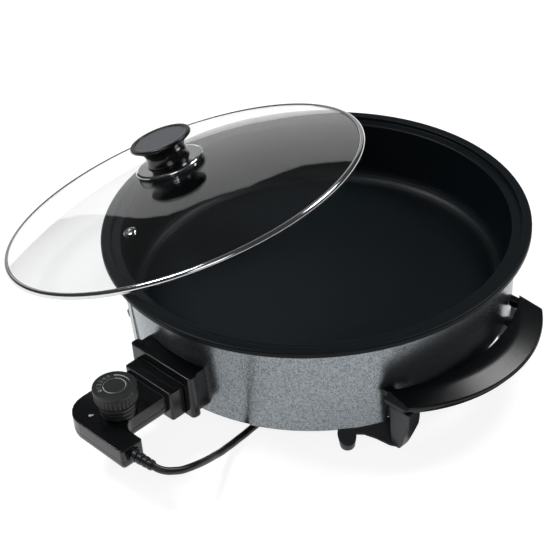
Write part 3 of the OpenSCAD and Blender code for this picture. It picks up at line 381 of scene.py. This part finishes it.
leg = slab([(182.6, 51.0), (205.6, 51.0), (205.6, 46), (205.2, 40), (204, 33), (201, 25.5), (197.6, 17.5),
            (194.4, 9.5), (192.2, 4.2), (190.2, 1.2), (187.6, 0), (183.6, 0), (181.8, 1.2), (181.3, 4),
            (182.2, 11), (182.6, 20)], 82, 97)
taper_from = 0.014
for vertex in leg.data.vertices:
    low = max(taper_from - vertex.co.z, 0) / taper_from
    vertex.co.y += 0.003 * low if vertex.co.y < 0.09 else -0.004 * low
web = slab([(46.5, 17.85), (46.5, 10.5), (39, 13.2), (31, 12.2), (20, 8.6), (8, 3.6), (0, 1.6), (-3, 1.6),
            (-3, 17.85)], -5, 19)
web.data.transform(Matrix.Translation((0.185, 0.0895, 0))
                   @ Matrix.Rotation(math.atan2(32.7, -33.03), 4, "Z"))
peg = turned("peg", [(0, 0), (4.6, 0), (6.2, 0.7), (7.0, 2.4), (8.0, 9), (9.3, 17.85), (0, 17.85)],
             Matrix.Translation((0.15197, 0.12219, 0)), 40)
arm = slab([(152, 25), (190, 25), (190, 40), (152, 40)], 74, 87)
for part in [web, peg]:
    bpy.ops.object.select_all(action="DESELECT")
    bpy.context.view_layer.objects.active = part
    part.select_set(True)
    bpy.ops.object.mode_set(mode="EDIT")
    bpy.ops.mesh.select_all(action="SELECT")
    bpy.ops.mesh.bisect(plane_co=(0.1594, 0.0996, 0.01785), plane_no=(0.509, 0.318, 0.8), use_fill=True,
                        clear_outer=True)
    bpy.ops.object.mode_set(mode="OBJECT")
bpy.ops.object.select_all(action="DESELECT")
bpy.context.view_layer.objects.active = leg
leg.select_set(True)
for part in [web, peg, arm]:
    union = leg.modifiers.new("joined", "BOOLEAN")
    union.operation = "UNION"
    union.solver = "EXACT"
    union.object = part
    bpy.ops.object.modifier_apply(modifier=union.name)
    bpy.data.objects.remove(part)
bevel = leg.modifiers.new("rounded", "BEVEL")
bevel.width = 0.0009
bevel.segments = 3
bevel.limit_method = "ANGLE"
bevel.angle_limit = math.radians(42)
bpy.ops.object.modifier_apply(modifier=bevel.name)
bpy.ops.object.shade_smooth_by_angle(angle=math.radians(34))
for foot, across, along in [("foot_back_right", 1, 1), ("foot_front_right", 1, -1),
                            ("foot_back_left", -1, 1), ("foot_front_left", -1, -1)]:
    piece = bpy.data.objects.new(foot + "_moulded", leg.data.copy())
    bpy.context.collection.objects.link(piece)
    piece.data.transform(Matrix.Diagonal((across, along, 1, 1)))
    if across * along < 0:
        piece.data.flip_normals()
    fit(piece, "pan", "leg_phenolic", leg_plastic, foot)
bpy.data.objects.remove(leg)

# ---- grips ---------------------------------------------------------------------------------
# Two curved grips pressed from black heat-proof plastic, hollow below. Short arms seat their ends
# on the pan's wall, and screws from below, through the feet's arms, hold them.

# Pressed plastic: black, satin on top from handling
material, tree, shader = new_material("satin_grip_plastic")
place = add_node(tree, "TexCoord").outputs["Object"]
filler = add_node(tree, "TexNoise", Vector=place, Scale=1000 / 1.1, Detail=4)
shade = add_node(tree, "Mix", {"data_type": "RGBA"}, i0=filler.outputs["Fac"], i6=paint("090b0d"),
                 i7=paint("15181b"))
rough = add_node(tree, "MapRange", Value=filler.outputs["Fac"], To_Min=0.18, To_Max=0.28)
edge = add_node(tree, "Bevel", {"samples": 8}, Radius=0.0016)
bump = add_node(tree, "Bump", Height=filler.outputs["Fac"], Strength=0.1, Distance=0.0003,
                Normal=edge.outputs[0])
tree.links.new(shade.outputs[2], shader.inputs["Base Color"])
tree.links.new(rough.outputs[0], shader.inputs["Roughness"])
tree.links.new(bump.outputs[0], shader.inputs["Normal"])
shader.inputs["Specular IOR Level"].default_value = 0.3
finish_nodes(material, "handle_grip_right", "handle_grip_left")

# Inner wall of each hollow grip, a thin apron that hangs from its top behind the fingers
apron_reach, apron_half = 0.1662, 0.072
apron_top, apron_drop, grip_centre = 0.0575, 0.022, 0.044
for name, half_turn in [("grip_apron_right", 0), ("grip_apron_left", math.pi)]:
    bpy.ops.object.select_all(action="DESELECT")
    bpy.ops.mesh.primitive_circle_add(vertices=180, radius=apron_reach, location=(0, 0, 0))
    apron = bpy.context.object
    apron.name = name
    bpy.ops.object.mode_set(mode="EDIT")
    bpy.ops.mesh.select_all(action="SELECT")
    bpy.ops.mesh.extrude_edges_move()
    bpy.ops.transform.translate(value=(0, 0, -apron_drop))
    bpy.ops.mesh.select_mode(type="VERT")
    bpy.ops.mesh.select_all(action="DESELECT")
    bpy.ops.object.mode_set(mode="OBJECT")
    for vertex in apron.data.vertices:
        vertex.select = vertex.co.x < 0 or abs(vertex.co.y) > apron_half
    bpy.ops.object.mode_set(mode="EDIT")
    bpy.ops.mesh.delete(type="VERT")
    bpy.ops.object.mode_set(mode="OBJECT")
    thick = apron.modifiers.new("thick", "SOLIDIFY")
    thick.thickness = 0.002
    thick.offset = 0
    bpy.ops.object.modifier_apply(modifier=thick.name)
    bpy.ops.object.shade_smooth_by_angle(angle=math.radians(35))
    apron.data.transform(Matrix.Rotation(half_turn, 4, "Z")
                         @ Matrix.Translation((grip_centre, 0, apron_top)))
    fit(apron, "pan", "satin_phenolic", material)

# ---- lid glass -----------------------------------------------------------------------------
# Dome of clear tempered glass, pressed to shape and ground at its edge, where the band clasps it.
# A hole in its crown takes the knob's screw, and one near the edge takes the vent.

# Tempered glass: clear, with a faint ripple from the press; it throws almost no shadow on the pan
material, tree, shader = new_material("clear_tempered_glass")
shader.inputs["Base Color"].default_value = paint("f8f8f8")
shader.inputs["Roughness"].default_value = 0.0
shader.inputs["IOR"].default_value = 1.5
shader.inputs["Transmission Weight"].default_value = 1.0
place = add_node(tree, "TexCoord").outputs["Object"]
press = add_node(tree, "TexNoise", Vector=place, Scale=1000 / 60, Detail=2)
bump = add_node(tree, "Bump", Height=press.outputs["Fac"], Strength=0.03, Distance=0.002)
tree.links.new(bump.outputs[0], shader.inputs["Normal"])
seen = add_node(tree, "LightPath")
faint = add_node(tree, "Math", {"operation": "MAXIMUM"}, i0=seen.outputs["Is Shadow Ray"],
                 i1=seen.outputs["Is Diffuse Ray"])
clear = add_node(tree, "BsdfTransparent", Color=(0.93, 0.95, 0.95, 1))
mix = add_node(tree, "MixShader", Fac=faint.outputs[0], i1=shader.outputs[0], i2=clear.outputs[0])
tree.links.new(mix.outputs[0], tree.nodes["Material Output"].inputs["Surface"])
finish_nodes(material, "lid_glass")

# ---- lid band and vent ---------------------------------------------------------------------
# Band rolled from polished stainless strip and closed round the edge of the glass, and a small
# steel eyelet, pressed through the glass and turned over, that lets the steam out.

# Polished strip: bright, with fine polishing haze
material, tree, shader = new_material("polished_stainless_strip")
place = add_node(tree, "TexCoord").outputs["Object"]
haze = add_node(tree, "TexNoise", Vector=place, Scale=1000 / 3.5, Detail=4)
shade = add_node(tree, "Mix", {"data_type": "RGBA"}, i0=haze.outputs["Fac"], i6=paint("c6c8ca"),
                 i7=paint("e2e3e5"))
rough = add_node(tree, "MapRange", Value=haze.outputs["Fac"], To_Min=0.07, To_Max=0.16)
tree.links.new(shade.outputs[2], shader.inputs["Base Color"])
tree.links.new(rough.outputs[0], shader.inputs["Roughness"])
shader.inputs["Metallic"].default_value = 1.0
polished_steel = material
lid_place = (Matrix.Rotation(math.radians(195.5), 4, "Z") @ Matrix.Translation((0.156, 0, 0.1095))
             @ Matrix.Rotation(math.radians(18), 4, "Y"))
bead_reach, bead_height, bead_wide, bead_high = 194.35, 2.85, 3.1, 3.4
bead = [(bead_reach + bead_wide * math.cos(turn), bead_height + bead_high * math.sin(turn))
        for turn in (math.tau * i / 20 for i in range(20))]
fit(turned("rolled_band", bead, lid_place, 240), "lid", "band_steel", polished_steel, "lid_band")

vent_place = (lid_place @ Matrix.Rotation(math.radians(102.7), 4, "Z")
              @ Matrix.Translation((0.1177, 0, 0.02148)) @ Matrix.Rotation(math.radians(11.18), 4, "Y"))
eyelet = [(2.5, -0.8), (3.2, -1.2), (5.6, -1.0), (6.4, -0.6), (6.4, -0.2), (3.9, -0.2), (3.9, 4.3),
          (6.2, 4.3), (6.5, 4.6), (6.1, 5.1), (4.9, 5.5), (3.6, 5.5), (2.8, 5.2), (2.5, 4.6)]
fit(turned("vent_eyelet", eyelet, vent_place, 48), "lid", "band_steel", polished_steel, "vent_grommet")

# ---- knob ----------------------------------------------------------------------------------
# Waisted black knob with a grey inlay in its top, on a bright steel guard plate over the glass. A
# screw from below, over a washer, holds all three to the lid.
finish_nodes(polished_steel, "knob_guard")
finish_nodes(gloss_black, "knob_grip")

# Inlay: charcoal plastic with the circular grain of a turned mould
material, tree, shader = new_material("charcoal_inlay")
place = add_node(tree, "TexCoord").outputs["Object"]
grain = add_node(tree, "TexNoise", Vector=place, Scale=1000 / 1.4, Detail=4)
shade = add_node(tree, "Mix", {"data_type": "RGBA"}, i0=grain.outputs["Fac"], i6=paint("33373c"),
                 i7=paint("52575c"))
bump = add_node(tree, "Bump", Height=grain.outputs["Fac"], Strength=0.12, Distance=0.0003)
tree.links.new(shade.outputs[2], shader.inputs["Base Color"])
tree.links.new(bump.outputs[0], shader.inputs["Normal"])
shader.inputs["Roughness"].default_value = 0.3
finish_nodes(material, "knob_cap")

# ---- control -------------------------------------------------------------------------------
# Plug-in heat control: a hooked case in two moulded halves, screwed together from below, with a
# solid head for the socket. It holds the thermostat, and its sensor rod reaches into the pan.
finish_nodes(gloss_black, "plug_head", "control_top_cover", "control_bottom_cover")

# ---- dial ----------------------------------------------------------------------------------
# Ribbed black dial with a flat face, printed in white with a ring, plain numbers from 0 to 5 and a
# swelling arc, and a white drop printed on the case as its pointer.

# Moulded dial: matt black that dulls every highlight
material, tree, shader = new_material("matt_dial_plastic")
place = add_node(tree, "TexCoord").outputs["Object"]
grain = add_node(tree, "TexNoise", Vector=place, Scale=1000 / 0.9, Detail=4)
shade = add_node(tree, "Mix", {"data_type": "RGBA"}, i0=grain.outputs["Fac"], i6=paint("07090a"),
                 i7=paint("121417"))
rough = add_node(tree, "MapRange", Value=grain.outputs["Fac"], To_Min=0.38, To_Max=0.52)
edge = add_node(tree, "Bevel", {"samples": 8}, Radius=0.0005)
bump = add_node(tree, "Bump", Height=grain.outputs["Fac"], Strength=0.12, Distance=0.0002,
                Normal=edge.outputs[0])
tree.links.new(shade.outputs[2], shader.inputs["Base Color"])
tree.links.new(rough.outputs[0], shader.inputs["Roughness"])
tree.links.new(bump.outputs[0], shader.inputs["Normal"])
finish_nodes(material, "dial_knob", "dial_face")

# Printing ink: flat off-white, slightly thin over the grain
material, tree, shader = new_material("white_printing_ink")
place = add_node(tree, "TexCoord").outputs["Object"]
thin = add_node(tree, "TexNoise", Vector=place, Scale=1000 / 0.6, Detail=3)
shade = add_node(tree, "Mix", {"data_type": "RGBA"}, i0=thin.outputs["Fac"], i6=paint("a9acae"),
                 i7=paint("d6d8da"))
tree.links.new(shade.outputs[2], shader.inputs["Base Color"])
shader.inputs["Roughness"].default_value = 0.5
ink = material

dial_x, dial_y, face_z, case_z = 0.009, -0.270, 0.08872, 0.05902
ink_thickness = 0.00006
number_reach, number_height = 0.0142, 0.0058
first_number, number_gap = 253, 18      # degrees round the dial


def arc_plate(name, inner, outer, start, stop, thickness, grow=1.0):
    """Flat arc between two radii and two angles in degrees; its start is grow times as wide"""
    bpy.ops.object.select_all(action="DESELECT")
    bpy.ops.mesh.primitive_circle_add(vertices=180, radius=inner, location=(0, 0, 0))
    piece = bpy.context.object
    piece.name = name
    bpy.ops.object.mode_set(mode="EDIT")
    bpy.ops.mesh.select_all(action="SELECT")
    bpy.ops.mesh.extrude_edges_move()
    bpy.ops.transform.resize(value=(outer / inner, outer / inner, 1))
    bpy.ops.mesh.select_mode(type="VERT")
    bpy.ops.mesh.select_all(action="DESELECT")
    bpy.ops.object.mode_set(mode="OBJECT")
    for vertex in piece.data.vertices:
        turn = math.degrees(math.atan2(vertex.co.y, vertex.co.x)) % 360
        vertex.select = not start <= turn <= stop
        if not vertex.select and vertex.co.length > (inner + outer) / 2:
            share = grow + (1 - grow) * (turn - start) / (stop - start)
            vertex.co *= (inner + (outer - inner) * share) / outer
    bpy.ops.object.mode_set(mode="EDIT")
    bpy.ops.mesh.delete(type="VERT")
    bpy.ops.object.mode_set(mode="OBJECT")
    thick = piece.modifiers.new("thick", "SOLIDIFY")
    thick.thickness = thickness
    thick.offset = 0
    bpy.ops.object.modifier_apply(modifier=thick.name)
    return piece


for name, inner, outer, start, stop, grow in [("printed_ring", 0.0099, 0.0107, 0, 360, 1),
                                              ("printed_arc", 0.0142, 0.0156, 62, 144, 0.1)]:
    mark = arc_plate(name, inner, outer, start, stop, ink_thickness, grow)
    mark.data.transform(Matrix.Translation((dial_x, dial_y, face_z)))
    fit(mark, "dial", "dial_black", ink)

for number in range(6):
    bpy.ops.object.select_all(action="DESELECT")
    turn = math.radians(first_number - number_gap * number)
    bpy.ops.object.text_add(location=(0, 0, 0))
    figure = bpy.context.object
    figure.data.body = str(number)
    figure.data.size = number_height
    figure.data.align_x, figure.data.align_y = "CENTER", "CENTER"
    figure.data.extrude = ink_thickness / 2
    figure.data.offset = 0.00008
    bpy.ops.object.convert(target="MESH")
    figure.name = "printed_number_%d" % number
    figure.data.transform(Matrix.Translation((dial_x, dial_y, face_z)) @ Matrix.Rotation(turn, 4, "Z")
                          @ Matrix.Translation((number_reach, 0, 0))
                          @ Matrix.Rotation(math.radians(-90), 4, "Z"))
    fit(figure, "dial", "dial_black", ink)

bpy.ops.object.select_all(action="DESELECT")
bpy.ops.mesh.primitive_circle_add(vertices=24, radius=0.0014, fill_type="NGON", location=(0, 0, 0))
pointer = bpy.context.object
pointer.name = "printed_pointer"
for vertex in pointer.data.vertices:
    if vertex.co.x > 0:      # one half is drawn out and narrowed to the tip of the drop
        vertex.co.x *= 2.6
        vertex.co.y *= 1 - 0.55 * vertex.co.x / 0.0036
thick = pointer.modifiers.new("ink", "SOLIDIFY")
thick.thickness = ink_thickness
thick.offset = 0
bpy.ops.object.modifier_apply(modifier=thick.name)
pointer.data.transform(Matrix.Translation((-0.0055, -0.2915, case_z))
                       @ Matrix.Rotation(math.radians(56), 4, "Z"))
fit(pointer, "control", "dial_black", ink)

# ---- studio --------------------------------------------------------------------------------
# White table in a dim room, with two soft lamps overhead, a weak one in front, and white paper
# standing behind, which the glass lid mirrors as a pale veil.

# World: white to the camera and straight through the glass, and dim air for all other rays
world = bpy.data.worlds.new("studio")
bpy.context.scene.world = world
world.use_nodes = True
tree = world.node_tree
tree.nodes.clear()
seen = add_node(tree, "LightPath")
bounces = add_node(tree, "Math", {"operation": "ADD"}, i0=seen.outputs["Diffuse Depth"],
                   i1=seen.outputs["Glossy Depth"])
straight = add_node(tree, "Math", {"operation": "LESS_THAN"}, i0=bounces.outputs[0], i1=0.5)
through = add_node(tree, "Math", {"operation": "MULTIPLY"}, i0=seen.outputs["Is Transmission Ray"],
                   i1=straight.outputs[0])
shown = add_node(tree, "Math", {"operation": "MAXIMUM"}, i0=seen.outputs["Is Camera Ray"],
                 i1=through.outputs[0])
mirrored = add_node(tree, "Math", {"operation": "MAXIMUM"}, i0=seen.outputs["Is Glossy Ray"],
                    i1=seen.outputs["Is Transmission Ray"])
air = add_node(tree, "Math", {"operation": "MULTIPLY_ADD"}, i0=mirrored.outputs[0], i1=-0.1, i2=0.15)
level = add_node(tree, "Math", {"operation": "MAXIMUM"}, i0=shown.outputs[0], i1=air.outputs[0])
sky = add_node(tree, "Background", Color=(1, 1, 1, 1), Strength=level.outputs[0])
add_node(tree, "OutputWorld", Surface=sky.outputs[0])

# White surface: it shows as white to the camera and in metal and glass, and keeps soft shadows
material, tree, shader = new_material("white_studio_surface")
tree.nodes.remove(shader)
seen = add_node(tree, "LightPath")
direct = add_node(tree, "Math", {"operation": "MAXIMUM"}, i0=seen.outputs["Is Camera Ray"],
                  i1=seen.outputs["Is Transmission Ray"])
direct = add_node(tree, "Math", {"operation": "MAXIMUM"}, i0=direct.outputs[0],
                  i1=seen.outputs["Is Glossy Ray"])
cloth = add_node(tree, "BsdfDiffuse", Color=(0.8, 0.8, 0.8, 1))
pale = add_node(tree, "BsdfDiffuse", Color=(0.35, 0.35, 0.35, 1))
glow = add_node(tree, "Emission", Color=(1, 1, 1, 1), Strength=0.86)
both = add_node(tree, "AddShader", i0=pale.outputs[0], i1=glow.outputs[0])
mix = add_node(tree, "MixShader", Fac=direct.outputs[0], i1=cloth.outputs[0], i2=both.outputs[0])
tree.links.new(mix.outputs[0], tree.nodes["Material Output"].inputs["Surface"])

bpy.ops.object.select_all(action="DESELECT")
bpy.ops.mesh.primitive_plane_add(size=8, location=(0, 0, 0))
table = bpy.context.object
table.name = "table_top"
table.data.materials.append(material)

# Paper behind: white to the camera and through clear glass, and mid grey in what mirrors it
material, tree, shader = new_material("white_backdrop_paper")
tree.nodes.remove(shader)
seen = add_node(tree, "LightPath")
direct = add_node(tree, "Math", {"operation": "MAXIMUM"}, i0=seen.outputs["Is Camera Ray"],
                  i1=seen.outputs["Is Transmission Ray"])
mirrored = add_node(tree, "Math", {"operation": "MULTIPLY"}, i0=seen.outputs["Is Glossy Ray"], i1=0.4)
level = add_node(tree, "Math", {"operation": "MAXIMUM"}, i0=direct.outputs[0], i1=mirrored.outputs[0])
glow = add_node(tree, "Emission", Color=(1, 1, 1, 1), Strength=level.outputs[0])
tree.links.new(glow.outputs[0], tree.nodes["Material Output"].inputs["Surface"])
outline = [(-1.70, 0.01), (1.2, 0.01), (1.2, 1.4), (0.9, 1.5), (0.17, 1.52), (-0.19, 1.56),
           (-0.45, 1.72), (-0.67, 1.85), (-1.3, 1.83), (-1.5, 1.78), (-1.64, 1.55), (-1.70, 1.2)]
backdrop_back = 3.0
bpy.ops.object.select_all(action="DESELECT")
bpy.ops.mesh.primitive_circle_add(vertices=len(outline), radius=1, fill_type="NGON", location=(0, 0, 0))
backdrop = bpy.context.object
backdrop.name = "backdrop"
for vertex, (x, z) in zip(backdrop.data.vertices, outline):
    vertex.co = (x, backdrop_back, z)
backdrop.data.transform(Matrix.Rotation(turn_of_pan, 4, "Z"))
backdrop.data.materials.append(material)

# Painted shade: a black card laid flat beside the right grip and seen in mirrors only. It stands in for
# the shade under the grip and darkens the painted skirt's reflection there
material, tree, shader = new_material("painted_shade_card")
shader.inputs["Base Color"].default_value = paint("050505")
shader.inputs["Roughness"].default_value = 0.9
shader.inputs["Specular IOR Level"].default_value = 0.0
bpy.ops.object.select_all(action="DESELECT")
bpy.ops.mesh.primitive_plane_add(size=1, location=(0, 0, 0))
card = bpy.context.object
card.name = "painted_shade_sheet"
card.data.transform(Matrix.Translation((0.24, 0.025, 0.0015)) @ Matrix.Diagonal((0.10, 0.21, 1, 1)))
card.data.materials.append(material)
card.visible_camera = False
card.visible_diffuse = False
card.visible_shadow = False
card.visible_transmission = False


def lamp(name, place, aim, size, watts):
    """Square soft lamp at place, turned to aim"""
    data = bpy.data.lights.new(name, "AREA")
    data.size = size
    data.energy = watts
    item = bpy.data.objects.new(name, data)
    bpy.context.collection.objects.link(item)
    turn = (Vector(aim) - Vector(place)).to_track_quat("-Z", "Y").to_matrix().to_4x4()
    item.matrix_world = Matrix.Translation(place) @ turn


lamp("left_lamp", pan_turn @ Vector((-1.35, 0.45, 2.3)), (0, 0, 0.05), 0.7, 36)
lamp("right_lamp", pan_turn @ Vector((1.25, 0.8, 2.1)), (0, 0, 0.05), 0.8, 26)
lamp("front_lamp", pan_turn @ Vector((0.1, -2.2, 1.5)), (0, 0, 0.05), 1.0, 8)
